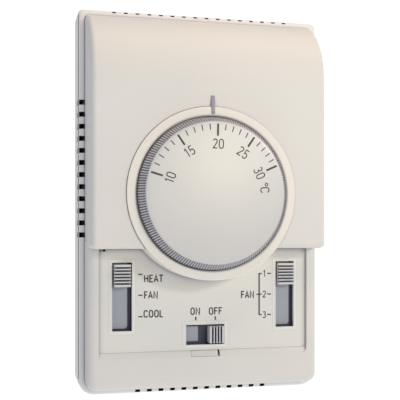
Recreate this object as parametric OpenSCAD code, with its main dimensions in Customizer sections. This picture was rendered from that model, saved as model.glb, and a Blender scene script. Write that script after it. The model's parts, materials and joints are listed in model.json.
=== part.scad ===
// Wall thermostat for a fan coil: a hooded front cover on a vented rear case, a
// knurled setpoint dial, three slide switches behind a recessed switch plate,
// and the thermal mechanism and circuit board inside.
// Every module is drawn in a wall frame: x right, y up, z out from the wall,
// with the origin at the middle of the back face. The last lines turn that
// frame so that the front looks along -Y and +Z is up.

/* [Case] */
// Width of the rear case
case_w = 84.8; // [80:0.2:92]
// Height of the rear case
case_h = 130; // [128:1:140]
// Height of the rear case's walls above the wall face
band_z = 13; // [12.6:0.2:14]
// Wall thickness of the mouldings
wall = 2; // [1.6:0.1:2.2]
// Radius of the rear case's top corners
top_corner_r = 2.6; // [2.4:0.1:4]
// Radius of the rear case's bottom corners
low_corner_r = 5.6; // [4.6:0.1:7]
// Width of one vent slot
vent_w = 1.7; // [1:0.1:2.2]
// Distance between vent slots
vent_pitch = 4.05; // [3.4:0.05:4.2]

/* [Cover] */
// Height of the lower front face above the wall
low_face_z = 20; // [19.8:0.1:21]
// Height of the hood's face above the wall
hood_face_z = 29; // [28.9:0.05:29.1]
// Height of the hood's bottom edge
hood_y = -15.5; // [-16:0.1:-15]
// Radius of the curve over the hood's top
hood_curve_r = 23.5; // [22:0.5:26]
// Depth of the switch plate below the lower front face
recess_depth = 1.2; // [0.8:0.1:1.4]

/* [Dial] */
// Height of the dial's centre
dial_y = 2.6; // [2:0.1:3.2]
// Radius of the dial at its base
dial_r = 25; // [22:0.1:25.1]
// Radius of the dial at its face
dial_face_r = 23.2; // [21:0.1:24.2]
// Height of the dial's face above the wall
dial_face_z = 34; // [33:0.5:40]
// Outer radius of the bezel
bezel_r = 28.6; // [28.4:0.1:29.5]
// Height of the bezel's face above the wall
bezel_z = 29.6; // [29.3:0.1:30.5]
// Clockwise turn from rest to the low end of the scale, in degrees
turn_low = 73.3; // [60:0.1:75]
// Anticlockwise turn from rest to the high end of the scale, in degrees
turn_high = 65.9; // [60:0.1:75]

/* [Switches] */
// Distance of the two upright switches from the middle
side_switch_x = 28.5; // [28:0.1:29]
// Travel of the upright switches
side_travel = 14.2; // [12:0.2:14.4]
// Travel of the power switch
power_travel = 7.4; // [6:0.1:7.4]

/* [Hidden] */
$fn = 48;
gap = 0.3;
vent_z = 8.6;
side_vent_y = 11.3;
floor_t = 2;
case_x = case_w / 2;
case_y = case_h / 2;
cover_x = case_x - 2.2;
cover_y = case_y - 2.2;
cover_z0 = 11.2;
plate_z = low_face_z - recess_depth;
plate_t = 1.4;
opening_r = 24.4;
panel_x = 36.3;
panel_y0 = -50.2;
ledge_y = -52.2;
board_z = 5.5;
board_t = 1.6;
board_top = board_z + board_t;
board_x = 36;
board_y0 = -55;
board_y1 = 35.8;
screw_x = 33;
screw_y0 = -53;
screw_y1 = 30;
wall_screw_x = 30;
wall_screw_y = 44;
wall_hole_r = 2.2;
knob_w = 5.5;
knob_h = 7.4;
power_knob_w = 5;
power_knob_h = 5.7;
window_w = 6.6;
window_h = 22.8;
window_y = -31.6;
power_window_w = 13.4;
power_window_h = 6.8;
power_y = -44.9;
blade_z = 16;
blade_t = 0.8;
knob_top_z = 20.7;
side_knob_y = window_y + side_travel / 2;
power_knob_x = power_travel / 2;
spindle_r = 3;
bush_bore_r = spindle_r + 0.05;
frame_plate_z = 20;
frame_plate_t = 1.2;
cam_z = 14;
cam_t = 2.4;
cam_mid_r = 10;
cam_rise = 1.6;
follower_w = 6;
pivot_x = -19;
pivot_z = 12.7;
button_x = 16;
lever_y = 11;
stop_angles = [turn_high + 16, -turn_low - 16];

// Rounded plate outline with separate top and bottom corner radii.
module outline(hx, hy, rt, rb) {
    square([2 * (hx - max(rt, rb)), 2 * hy], center = true);
    translate([-hx, -hy + rb]) square([2 * hx, 2 * hy - rt - rb]);
    for (s = [-1, 1]) {
        translate([s * (hx - rt), hy - rt]) circle(rt);
        translate([s * (hx - rb), -hy + rb]) circle(rb);
    }
    translate([-hx + rt, 0]) square([2 * (hx - rt), hy]);
    translate([-hx + rb, -hy]) square([2 * (hx - rb), hy]);
}

// Box with its low corner at p and size s.
module block(p, s) {
    translate(p) cube(s);
}

// Round bar along z from height z0 to z1.
module post(x, y, z0, z1, r) {
    translate([x, y, z0]) cylinder(h = z1 - z0, r = r);
}

// Row of n vent slots cut through both side walls, centred on y0.
module side_vents(n, y0, top) {
    for (i = [0:n - 1]) {
        translate([-case_x - 1, y0 + (i - (n - 1) / 2) * vent_pitch - vent_w / 2, vent_z])
            cube([case_w + 2, vent_w, top - vent_z]);
    }
}

// Row of n vent slots cut through the top or bottom wall from y0.
module end_vents(n, y0, top) {
    for (i = [0:n - 1]) {
        translate([(i - (n - 1) / 2) * vent_pitch - vent_w / 2, y0, vent_z])
            cube([vent_w, 8, top - vent_z]);
    }
}

// Every vent slot of the case, cut up to height top. The top wall's slots
// break through the front edge only in their outer 0.8 mm.
module all_vents(top) {
    side_vents(12, side_vent_y, top);
    end_vents(16, case_y - 5, band_z - 0.9);
    end_vents(16, case_y - 0.8, top);
    end_vents(12, -case_y - 3, top);
}

module rear_case() {
    color("Linen") difference() {
        union() {
            difference() {
                linear_extrude(band_z) outline(case_x, case_y, top_corner_r, low_corner_r);
                translate([0, 0, floor_t]) linear_extrude(band_z)
                    outline(case_x - wall, case_y - wall, 0.8, low_corner_r - wall);
            }
            for (x = [-screw_x, screw_x]) {
                post(x, screw_y1, 1, board_z - 0.02, 3);
                post(x, screw_y0, 1, board_z - 0.02, 3);
            }
            for (x = [-wall_screw_x, wall_screw_x]) post(x, wall_screw_y, 1, 3.2, 4.5);
            // Ledges that the cover's skirt stands on.
            for (s = [-1, 1]) {
                block([s * (case_x - 3) - 1.2, 50, 1], [2.4, 8, cover_z0 - 1.05]);
                block([s * (case_x - 3) - 1.2, -30, 1], [2.4, 8, cover_z0 - 1.05]);
            }
            // Low rim round the cable entry.
            block([-14, 36.2, 1], [28, 17, 2.6]);
        }
        block([-12.4, 37.6, -1], [24.8, 14.2, 8]);
        for (x = [-wall_screw_x, wall_screw_x]) post(x, wall_screw_y, -1, 8, wall_hole_r);
        for (x = [-screw_x, screw_x]) {
            post(x, screw_y1, 2.4, 8, 1.25);
            post(x, screw_y0, 2.4, 8, 1.25);
        }
        all_vents(band_z + 1);
        // Chamfer round the front edge of the walls.
        for (s = [-1, 1]) {
            translate([s * case_x, 0, band_z]) rotate([0, 45, 0])
                cube([1.7, case_h + 2, 1.7], center = true);
            translate([0, s * case_y, band_z]) rotate([45, 0, 0])
                cube([case_w + 2, 1.7, 1.7], center = true);
        }
    }
}

// Side profile of the hood, as y and z, grown or shrunk by d.
module hood_profile(d) {
    arc_y = cover_y - 22;
    arc_z = hood_face_z - hood_curve_r;
    low_r = 3;
    translate([-cover_y + low_r, cover_z0 - 1])
        square([cover_y + arc_y - low_r, hood_face_z - cover_z0 + 1 + d]);
    // Rounded lower edge of the front.
    translate([-cover_y - d, cover_z0 - 1])
        square([low_r + d + 0.1, low_face_z - low_r - cover_z0 + 1]);
    translate([-cover_y + low_r, low_face_z - low_r]) circle(low_r + d);
    intersection() {
        translate([arc_y, arc_z]) circle(hood_curve_r + d, $fn = 96);
        translate([arc_y - 1, cover_z0 - 1]) square([cover_y - arc_y + 1 + d, 40]);
    }
}

// Solid of the cover before it is hollowed, shrunk by d on every outer side.
module cover_solid(d, z0) {
    intersection() {
        translate([0, 0, z0]) linear_extrude(40)
            outline(cover_x - d, cover_y - d, 0.6, max(0.6, low_corner_r - 2.2 - d));
        rotate([90, 0, 90]) linear_extrude(case_w, center = true) hood_profile(-d);
        union() {
            // Lower front with rounded side edges.
            rotate([90, 0, 0]) linear_extrude(2 * case_h, center = true)
                edge_profile(cover_x - d, low_face_z - d, 3);
            // Hood with rounded side edges.
            translate([0, hood_y + d, 0]) rotate([90, 0, 180]) linear_extrude(case_h)
                edge_profile(cover_x - d - 0.5, hood_face_z - d, 2.2);
        }
    }
}

// Cross profile of half width hx and height h with top corners of radius r.
module edge_profile(hx, h, r) {
    translate([-hx, 0]) square([2 * hx, h - r]);
    translate([-hx + r, 0]) square([2 * (hx - r), h]);
    for (s = [-1, 1]) translate([s * (hx - r), h - r]) circle(r);
}

module front_cover() {
    color("AntiqueWhite") difference() {
        union() {
            difference() {
                cover_solid(0, cover_z0);
                cover_solid(wall, cover_z0 - 5);
            }
            // Shelf inside the hood that the bezel's flange sits on.
            intersection() {
                post(0, dial_y, 25, 27.5, bezel_r + 1.6);
                block([-50, hood_y + 0.5, 20], [100, 60, 12]);
            }
            // Land that the edge of the switch plate rests on.
            block([-panel_x - 0.6, -51.5, 17.1], [2 * panel_x + 1.2, 51.4 + hood_y, 1.3]);
        }
        // Recess for the switch plate, and the opening behind it.
        block([-panel_x, panel_y0, plate_z - 0.75], [2 * panel_x, hood_y - panel_y0, 5.75]);
        block([-panel_x + 1.6, panel_y0 + 1.2, 15], [2 * panel_x - 3.2, hood_y - panel_y0 - 1.2, 9]);
        // Sloped ledge under the switch plate.
        rotate([90, 0, 90]) linear_extrude(2 * panel_x, center = true)
            polygon([
                [panel_y0 + 0.1, plate_z],
                [panel_y0 + 0.1, low_face_z + 1],
                [ledge_y - 1.67, low_face_z + 1],
            ]);
        // Notch for the release tab.
        block([-5.3, ledge_y - 0.3, 16], [10.6, panel_y0 - ledge_y + 1.5, 6]);
        // Round opening for the bezel and its drum.
        post(0, dial_y, 27.35, 31, bezel_r + 0.05);
        post(0, dial_y, 17, 31, opening_r);
        // Slots in the skirt, in line with the rear case's.
        all_vents(band_z - 0.2);
        // Seat for the pointer bar.
        block([-0.7, dial_y + bezel_r - 1, hood_face_z - 0.3], [1.4, 4.6, 2]);
    }
}

module dial_bezel() {
    color("Ivory") difference() {
        union() {
            post(0, dial_y, 27.4, bezel_z, bezel_r);
            post(0, dial_y, 23.8, 27.5, 6.5);
            // Wall that carries the ring's edge down to the switch plate below the hood.
            intersection() {
                difference() {
                    post(0, dial_y, plate_z + 0.1, 27.5, bezel_r);
                    post(0, dial_y, plate_z - 1, 27.4, bezel_r - 1.5);
                }
                block([-30, -30, 10], [60, 30 + hood_y - 0.1, 20]);
            }
            // Snap posts that reach into the hood.
            for (a = [40, 140]) {
                translate([20 * cos(a), dial_y + 20 * sin(a), 23]) cylinder(h = 5, r = 1.6);
            }
        }
        post(0, dial_y, 28.6, 31, 25.4);
        post(0, dial_y, 20, 31, spindle_r + 0.5);
        block([-0.7, dial_y + bezel_r - 2.6, bezel_z - 0.3], [1.4, 4, 2]);
    }
}

module setpoint_pointer() {
    color("DimGray") {
        block([-0.65, dial_y + 26.05, bezel_z - 0.28], [1.3, 2.9, 0.4]);
        block([-0.65, dial_y + bezel_r + 0.1, 28.72], [1.3, 3.4, 0.42]);
        block([-0.65, dial_y + bezel_r + 0.1, 28.72], [1.3, 0.4, bezel_z - 28.6]);
    }
}

// Rectangular window through the switch plate with a raised rim.
module window_cut(x, y, w, h) {
    block([x - w / 2, y - h / 2, 10], [w, h, 20]);
}

module window_rim(x, y, w, h) {
    block([x - w / 2 - 0.7, y - h / 2 - 0.7, plate_z - 0.1], [w + 1.4, h + 1.4, 0.3]);
}

module switch_plate() {
    color("AntiqueWhite") difference() {
        union() {
            block([-panel_x + gap, panel_y0 + gap, plate_z - plate_t],
                [2 * (panel_x - gap), hood_y - panel_y0 - gap - 0.6, plate_t]);
            for (s = [-1, 1]) window_rim(s * side_switch_x, window_y, window_w, window_h);
            window_rim(0, power_y, power_window_w, power_window_h);
        }
        for (s = [-1, 1]) window_cut(s * side_switch_x, window_y, window_w, window_h);
        window_cut(0, power_y, power_window_w, power_window_h);
        for (s = [-1, 1]) {
            // Lands of the cover under the plate's edge.
            block([s * (panel_x - 0.9) - 1.0, -60, 10], [2.0, 50, plate_z - 10 - 0.7]);
        }
        block([-50, panel_y0 - 1, 10], [100, 2.5, plate_z - 10 - 0.7]);
    }
}

module release_tab() {
    color("AntiqueWhite") {
        difference() {
            block([-5, ledge_y, 16.4], [10, panel_y0 - ledge_y - 0.05, low_face_z - 16.4 - 0.1]);
            rotate([90, 0, 90]) linear_extrude(20, center = true)
                polygon([
                    [ledge_y + 0.2, low_face_z + 1],
                    [ledge_y + 0.2, low_face_z - 0.1],
                    [panel_y0 + 1, plate_z - 0.2],
                    [panel_y0 + 1, low_face_z + 1],
                ]);
        }
        block([-4.4, ledge_y, 14.4], [8.8, 1.2, 2.4]);
        block([-4.4, ledge_y - 1.2, 14.0], [8.8, 2.4, 1.2]);
    }
}

module setpoint_dial() {
    color("Ivory") difference() {
        translate([0, dial_y, 0]) rotate_extrude($fn = 120)
            polygon([
                [0, 29.1],
                [dial_r - 1, 29.1],
                [dial_r, 29.4],
                [dial_r, 30.2],
                [dial_face_r, dial_face_z - 0.5],
                [dial_face_r - 0.5, dial_face_z],
                [0, dial_face_z],
            ]);
        difference() {
            post(0, dial_y, 28, dial_face_z - 2, dial_face_r - 2.2);
            post(0, dial_y, 27, dial_face_z, 5.5);
            for (a = [0, 60, 120]) {
                translate([0, dial_y, dial_face_z - 4]) rotate([0, 0, a]) cube([60, 1.2, 6], center = true);
            }
        }
        post(0, dial_y, 27, dial_face_z - 2.5, spindle_r);
        // Knurl flutes round the skirt.
        for (i = [0:71]) {
            translate([0, dial_y, 0]) rotate([0, 0, i * 5 + 2.5]) translate([dial_r + 0.3, 0, 30.2])
                rotate([0, -28.6, 0]) rotate([0, 0, 45]) translate([-0.45, -0.45, -2]) cube([0.9, 0.9, 7]);
        }
    }
}

module dial_spindle() {
    color("Silver") difference() {
        post(0, dial_y, 13.5, dial_face_z - 2.6, spindle_r);
        // Flat that keys the dial.
        block([spindle_r - 0.6, dial_y - 4, dial_face_z - 4.5], [2, 8, 10]);
    }
}

module spindle_clip() {
    color("DarkGray") difference() {
        post(0, dial_y, 18.6, 19.4, 4.9);
        post(0, dial_y, 18, 20, spindle_r);
        block([-1.4, dial_y - 6, 18], [2.8, 6, 2]);
    }
}

module spindle_bush() {
    color("Goldenrod") difference() {
        union() {
            post(0, dial_y, frame_plate_z, 22.6, 4.5);
            post(0, dial_y, frame_plate_z + frame_plate_t, 22.2, 5.8);
        }
        post(0, dial_y, 19, 24, bush_bore_r);
    }
}

// Spiral plate whose radius grows evenly with angle.
module setpoint_cam() {
    span = 112;
    color("WhiteSmoke") difference() {
        union() {
            translate([0, dial_y, cam_z]) linear_extrude(cam_t) polygon([
                for (a = [-span:4:span]) let (r = cam_mid_r + cam_rise * a * PI / 180)
                    [r * sin(a), r * cos(a)],
            ]);
            post(0, dial_y, cam_z, cam_z + cam_t + 0.6, 6.2);
        }
        post(0, dial_y, 10, 20, spindle_r);
    }
}

// Arm that meets the range stops at either end of the dial's turn.
module stop_arm() {
    color("DarkGray") difference() {
        union() {
            post(0, dial_y, 17.1, 18.1, 5);
            block([-1, dial_y, 17.1], [2, 10, 1]);
        }
        post(0, dial_y, 10, 20, spindle_r);
    }
}

module range_stops() {
    color("Silver") for (a = stop_angles) {
        translate([0, dial_y, 0]) rotate([0, 0, a]) translate([0, 8.5, 16.9])
            cylinder(h = frame_plate_z - 16.9, r = 1);
    }
}

module cam_follower() {
    nose_y = dial_y + cam_mid_r + gap;
    color("Gold") {
        block([-1.2, nose_y + 1.2, cam_z + 0.1], [2.4, 2.4, 2]);
        translate([0, nose_y + 1.2, cam_z + 0.1]) cylinder(h = 2, r = 1.2);
        block([-follower_w / 2, nose_y + 3.3, cam_z + 0.1], [follower_w, 4, 2]);
    }
}

module range_spring() {
    spring_y = dial_y + cam_mid_r + gap + 7.3;
    color("SteelBlue") for (i = [0:5]) {
        translate([0, spring_y + 0.42 + i * 0.88, cam_z + 1.1]) rotate([90, 0, 0])
            rotate_extrude($fn = 32) translate([1.9, 0]) circle(0.36, $fn = 14);
    }
    color("SteelBlue") for (a = [0:90:270]) {
        translate([1.9 * cos(a), spring_y + 0.2, cam_z + 1.1 + 1.9 * sin(a)]) rotate([-90, 0, 0])
            cylinder(h = 4.8, r = 0.2, $fn = 14);
    }
}

module mech_frame() {
    color("LightSteelBlue") difference() {
        union() {
            block([-21, -10, frame_plate_z], [42, 36.6, frame_plate_t]);
            for (s = [-1, 1]) {
                block([s * 20.4 - 0.6, -7, board_top], [1.2, 12, frame_plate_z - board_top + 0.5]);
                block([s * 23 - 3.2, -7, board_top], [6.4, 12, 1.2]);
                // Guide rails for the cam follower.
                block([s * 4.2 - 0.8, 15.4, 13.4], [1.6, 11.2, frame_plate_z - 13.3]);
            }
            block([-5, 25.5, 13.4], [10, 1.1, frame_plate_z - 13.3]);
            // Ears for the lever's pivot pin.
            block([-21, 5.2, 10.8], [4, 1.2, frame_plate_z - 10.7]);
            block([-21, 15.6, 10.8], [4, 1.2, frame_plate_z - 10.7]);
        }
        post(0, dial_y, 19, 23, 4.5);
        post(12, -5, 19, 23, 1.7);
        for (s = [-1, 1]) post(s * 24, -1, 5, 10, 1.3);
        for (a = stop_angles) {
            translate([0, dial_y, 0]) rotate([0, 0, a]) translate([0, 8.5, 19])
                cylinder(h = 4, r = 1);
        }
        translate([pivot_x, 4, pivot_z]) rotate([-90, 0, 0]) cylinder(h = 14, r = 0.9);
    }
}

module frame_screws() {
    color("Silver") for (s = [-1, 1]) {
        difference() {
            union() {
                post(s * 24, -1, board_top + 1.22, board_top + 2.6, 2.1);
                post(s * 24, -1, board_top - 2.4, board_top + 1.4, 1.2);
            }
            block([s * 24 - 2.5, -1.3, board_top + 2.1], [5, 0.6, 2]);
        }
    }
}

module calibration_screw() {
    color("Goldenrod") difference() {
        union() {
            post(12, -5, 16.6, 23.4, 1.65);
            post(12, -5, 21.3, 23.4, 2.6);
        }
        block([9, -5.3, 22.6], [6, 0.6, 2]);
    }
}

module sensing_capsule() {
    color("Gold") {
        post(-10.5, lever_y, board_top + 0.05, board_top + 1.2, 3);
        translate([-10.5, lever_y, 0]) rotate_extrude($fn = 64)
            polygon([
                [0, 8.2],
                [6.4, 8.2],
                [7.2, 8.9],
                [7.2, 9.5],
                [6.4, 10.2],
                [5, 10.2],
                [4.6, 10.5],
                [2.6, 10.5],
                [2.4, 11.2],
                [0, 11.2],
            ]);
    }
}

module sensing_lever() {
    color("Silver") difference() {
        union() {
            block([pivot_x + 1, lever_y - 2.5, 12.2], [38.4, 5, 1]);
            translate([pivot_x, lever_y - 3.6, pivot_z]) rotate([-90, 0, 0]) cylinder(h = 7.2, r = 1.6);
        }
        translate([pivot_x, lever_y - 5, pivot_z]) rotate([-90, 0, 0]) cylinder(h = 10, r = 0.95);
    }
}

module lever_pin() {
    color("DarkGray") translate([pivot_x, 4.9, pivot_z]) rotate([-90, 0, 0]) cylinder(h = 12.2, r = 0.9);
}

module snap_switch() {
    color("Black") difference() {
        block([11, lever_y - 4, board_top + 0.02], [10, 8, 3.2]);
        post(button_x, lever_y, board_top + 1, 20, 1.25);
    }
}

module snap_button() {
    color("Red") post(button_x, lever_y, board_top + 2.3, 11.85, 1.2);
}

module circuit_board() {
    color("DarkGreen") difference() {
        block([-board_x, board_y0, board_z], [2 * board_x, board_y1 - board_y0, board_t]);
        for (x = [-screw_x, screw_x]) {
            post(x, screw_y1, 4, 9, 1.5);
            post(x, screw_y0, 4, 9, 1.5);
        }
        for (s = [-1, 1]) post(s * 24, -1, 4, 9, 1.25);
    }
}

module board_screws() {
    color("Silver") for (x = [-screw_x, screw_x]) for (y = [screw_y0, screw_y1]) {
        difference() {
            union() {
                post(x, y, board_top + 0.02, board_top + 1.7, 2.4);
                post(x, y, 3, board_top + 0.5, 1.2);
            }
            block([x - 3, y - 0.3, board_top + 1.1], [6, 0.6, 2]);
            block([x - 0.3, y - 3, board_top + 1.1], [0.6, 6, 2]);
        }
    }
}

module terminal_block() {
    color("DimGray") difference() {
        block([-24.5, 27.2, board_top + 0.02], [49, 8.2, 9]);
        for (i = [-3.5:3.5]) {
            post(i * 6, 30.6, board_top + 4, 30, 2.2);
            block([i * 6 - 1.9, 31.2, board_top + 1], [3.8, 6, 4]);
        }
    }
}

module terminal_screws() {
    color("Silver") for (i = [-3.5:3.5]) {
        difference() {
            post(i * 6, 30.6, board_top + 4.4, board_top + 7.8, 1.9);
            block([i * 6 - 2.5, 30.3, board_top + 7], [5, 0.6, 2]);
        }
    }
}

// Metal shell of a slide switch, lw by lh over its outside, slot sw by sh.
module switch_shell(x, y, lw, lh, sw, sh) {
    difference() {
        block([x - lw / 2, y - lh / 2, 9.6], [lw, lh, 5.4]);
        block([x - lw / 2 + 0.5, y - lh / 2 + 0.5, 9], [lw - 1, lh - 1, 5.5]);
        block([x - sw / 2, y - sh / 2, 10], [sw, sh, 8]);
    }
}

// Insulating base of a slide switch with its solder pins' holes.
module switch_base(x, y, lw, lh) {
    block([x - lw / 2, y - lh / 2, board_top + 0.02], [lw, lh, 9.6 - board_top - 0.04]);
}

module system_switch_shell() {
    color("Silver") switch_shell(-side_switch_x, window_y, 8.6, 30, 2.8, side_travel + 3.6);
}

module system_switch_base() {
    color("Peru") switch_base(-side_switch_x, window_y, 8.6, 30);
}

module fan_switch_shell() {
    color("Silver") switch_shell(side_switch_x, window_y, 8.6, 30, 2.8, side_travel + 3.6);
}

module fan_switch_base() {
    color("Peru") switch_base(side_switch_x, window_y, 8.6, 30);
}

module power_switch_shell() {
    color("Silver") switch_shell(0, power_y, 24, 8, power_travel + 3.6, 2.8);
}

module power_switch_base() {
    color("Peru") switch_base(0, power_y, 24, 8);
}

// Carriage of an upright switch: shoe, stem and ribbed knob.
module side_slider(x) {
    block([x - 3.3, side_knob_y - 3, 10], [6.6, 6, 4]);
    block([x - 1, side_knob_y - 1.4, 13], [2, 2.8, 5]);
    difference() {
        block([x - knob_w / 2, side_knob_y - knob_h / 2, blade_z + blade_t + 0.02],
            [knob_w, knob_h, knob_top_z - blade_z - blade_t - 0.02]);
        for (i = [-2.5:2.5]) {
            block([x - 5, side_knob_y + i * 1.05 - 0.24, knob_top_z - 0.8], [10, 0.48, 2]);
        }
    }
}

// Dust blade that keeps an upright window closed at both ends of the travel.
module side_blade(x) {
    difference() {
        block([x - 3.7, window_y - window_h / 2 - 0.4, blade_z],
            [7.4, window_h + side_travel + 0.8, blade_t]);
        block([x - 1, side_knob_y - 1.4, 12], [2, 2.8, 9]);
    }
}

module system_slider() {
    color("Ivory") side_slider(-side_switch_x);
}

module system_blade() {
    color("SlateGray") side_blade(-side_switch_x);
}

module fan_slider() {
    color("Ivory") side_slider(side_switch_x);
}

module fan_blade() {
    color("SlateGray") side_blade(side_switch_x);
}

module power_slider() {
    x = power_knob_x;
    color("Ivory") {
        block([x - 3, power_y - 3, 10], [6, 6, 4]);
        block([x - 1.4, power_y - 1, 13], [2.8, 2, 5]);
        difference() {
            block([x - power_knob_w / 2, power_y - power_knob_h / 2, blade_z + blade_t + 0.02],
                [power_knob_w, power_knob_h, knob_top_z - blade_z - blade_t - 0.02]);
            for (i = [-1.5:1.5]) {
                block([x + i - 0.24, power_y - 5, knob_top_z - 0.8], [0.48, 10, 2]);
            }
        }
    }
}

module power_blade() {
    color("SlateGray") difference() {
        block([-power_window_w / 2 - 0.3, power_y - 3.8, blade_z],
            [power_window_w + power_travel + 0.6, 7.6, blade_t]);
        block([power_knob_x - 1.4, power_y - 1, 12], [2.8, 2, 9]);
    }
}

// Bent leads under the board for every switch contact.
module switch_pins() {
    color("Gold") {
        for (s = [-1, 1]) for (i = [0:3]) for (k = [-1, 1]) {
            block([s * side_switch_x + k * 3 - 0.3, window_y - 10.6 + i * 7.1 - 0.5, 4.2],
                [0.6, 1, 5]);
        }
        for (i = [0:2]) for (k = [-1, 1]) {
            block([-6.8 + i * 6.8 - 0.5, power_y + k * 2.6 - 0.3, 4.2], [1, 0.6, 5]);
        }
    }
}

module anticipator_resistor() {
    color("Tan") {
        translate([-9, -33, board_top + 2.4]) rotate([0, 90, 0]) cylinder(h = 18, r = 2.2);
        for (s = [-1, 1]) {
            post(s * 11.4, -33, board_top - 0.5, board_top + 2.75, 0.35);
            translate([s * 10.2 - 1.55, -33, board_top + 2.4]) rotate([0, 90, 0]) cylinder(h = 3.1, r = 0.35);
        }
    }
}

module board_capacitor() {
    color("MidnightBlue") post(27, 14, board_top + 0.05, board_top + 9, 4);
}

// Turns the wall frame so that the front looks along -Y.
module upright() {
    rotate([90, 0, 0]) children();
}

upright() rear_case();
upright() front_cover();
upright() dial_bezel();
upright() setpoint_pointer();
upright() switch_plate();
upright() release_tab();
upright() setpoint_dial();
upright() dial_spindle();
upright() spindle_clip();
upright() spindle_bush();
upright() setpoint_cam();
upright() stop_arm();
upright() range_stops();
upright() cam_follower();
upright() range_spring();
upright() mech_frame();
upright() frame_screws();
upright() calibration_screw();
upright() sensing_capsule();
upright() sensing_lever();
upright() lever_pin();
upright() snap_switch();
upright() snap_button();
upright() circuit_board();
upright() board_screws();
upright() terminal_block();
upright() terminal_screws();
upright() system_switch_shell();
upright() system_switch_base();
upright() fan_switch_shell();
upright() fan_switch_base();
upright() power_switch_shell();
upright() power_switch_base();
upright() system_slider();
upright() system_blade();
upright() fan_slider();
upright() fan_blade();
upright() power_slider();
upright() power_blade();
upright() switch_pins();
upright() anticipator_resistor();
upright() board_capacitor();
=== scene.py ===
"""Looks of the wall thermostat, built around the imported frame."""

import json
import math

import bmesh
import bpy
from mathutils import Matrix, Vector
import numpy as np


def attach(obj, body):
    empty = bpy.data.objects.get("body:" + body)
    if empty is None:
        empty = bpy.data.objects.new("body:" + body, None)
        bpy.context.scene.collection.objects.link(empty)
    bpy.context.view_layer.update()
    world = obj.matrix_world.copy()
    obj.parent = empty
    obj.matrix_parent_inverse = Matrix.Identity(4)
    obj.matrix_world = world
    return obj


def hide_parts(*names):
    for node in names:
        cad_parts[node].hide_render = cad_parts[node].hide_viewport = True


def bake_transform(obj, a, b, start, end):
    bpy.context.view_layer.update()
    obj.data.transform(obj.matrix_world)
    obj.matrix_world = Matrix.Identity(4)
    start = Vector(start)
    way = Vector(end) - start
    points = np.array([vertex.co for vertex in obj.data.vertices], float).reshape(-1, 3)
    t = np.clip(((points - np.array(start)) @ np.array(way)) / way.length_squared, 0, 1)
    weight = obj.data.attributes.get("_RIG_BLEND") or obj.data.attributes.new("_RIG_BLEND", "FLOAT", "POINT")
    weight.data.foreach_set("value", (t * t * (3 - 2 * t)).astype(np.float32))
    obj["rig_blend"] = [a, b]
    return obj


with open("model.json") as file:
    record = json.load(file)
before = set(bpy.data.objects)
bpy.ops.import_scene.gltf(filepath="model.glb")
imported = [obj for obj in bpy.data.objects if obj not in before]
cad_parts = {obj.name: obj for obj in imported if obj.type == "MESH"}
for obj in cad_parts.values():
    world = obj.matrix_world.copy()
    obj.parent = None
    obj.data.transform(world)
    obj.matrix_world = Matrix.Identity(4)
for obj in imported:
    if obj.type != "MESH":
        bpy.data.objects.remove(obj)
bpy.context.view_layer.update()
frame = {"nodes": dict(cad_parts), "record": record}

# Wall frame in millimetres (x right, y up, z out of the wall) to the row frame in metres.
TO_ROW = Matrix.Rotation(math.radians(90), 4, "X") @ Matrix.Scale(0.001, 4)

# Main sizes, in millimetres, the same as the CAD model's.
CASE_X, CASE_Y, BAND_Z = 42.4, 65.0, 13.0
COVER_X, COVER_Y, COVER_Z0 = 40.2, 62.8, 11.2
LOW_Z, HOOD_Z, HOOD_Y = 20.0, 29.0, -15.5
CURVE_R = 23.5
PANEL_X, PANEL_Y0, LEDGE_Y, PLATE_Z = 36.3, -50.2, -52.2, 18.8
DIAL_Y, DIAL_R, FACE_R, FACE_Z = 2.6, 25.0, 23.2, 33.96
BEZEL_R, BEZEL_Z, OPENING_R = 28.6, 29.6, 24.4
SIDE_X, SIDE_TRAVEL, POWER_TRAVEL = 28.5, 14.2, 7.4
WIN_W, WIN_H, WIN_Y = 6.6, 22.8, -31.6
PWIN_W, PWIN_H, PWIN_Y = 13.4, 6.8, -44.9
KNOB_W, KNOB_H, PKNOB_W, PKNOB_H = 5.5, 7.4, 5.0, 5.7
BLADE_Z, BLADE_T, KNOB_Z = 16.0, 0.8, 20.7
VENT_W, VENT_PITCH, VENT_Z = 1.7, 4.05, 8.6
SIDE_VENTS, SIDE_VENT_Y, TOP_VENTS, LOW_VENTS = 12, 11.3, 16, 12

# Details, in millimetres.
CASE_TOP_R, CASE_LOW_R, CASE_EDGE_R = 1.7, 5.6, 1.5
CASE_FLOOR, CASE_WALL = 2, 2.14
SLOT_FLOOR, SLOT_SKIN = 2.2, 0.3
SCREW_X, SCREW_Y, SCREW_R = 30, 44, 2.2
HOOD_TAPER, HOOD_EDGE_R, LOW_EDGE_R, COVER_CORNER_R = 0.6, 1.7, 2.9, 3.4
COVER_WALL, HOLLOW_X = 2.0, 38.2
PANEL_R, RECESS_R = 1.6, 2.2
RIBS, RIB_DEPTH, RIB_GAP = 180, 0.56, 0.34
RIM_W, RIM_RISE, RIDGE_W, RIDGE_RISE = 1.1, 0.12, 0.38, 0.3
PRINT = 0.03  # height of printed ink over its surface
UNDER, OVER = 10, 30  # well below and above the plate, for cutting tools


# ---------------------------------------------------------------- mesh tools

def new_mesh(name, bm):
    """A mesh object from a bmesh in millimetres of the wall frame."""
    bmesh.ops.recalc_face_normals(bm, faces=bm.faces)
    mesh = bpy.data.meshes.new(name)
    bm.to_mesh(mesh)
    bm.free()
    obj = bpy.data.objects.new(name, mesh)
    bpy.context.scene.collection.objects.link(obj)
    return obj


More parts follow.
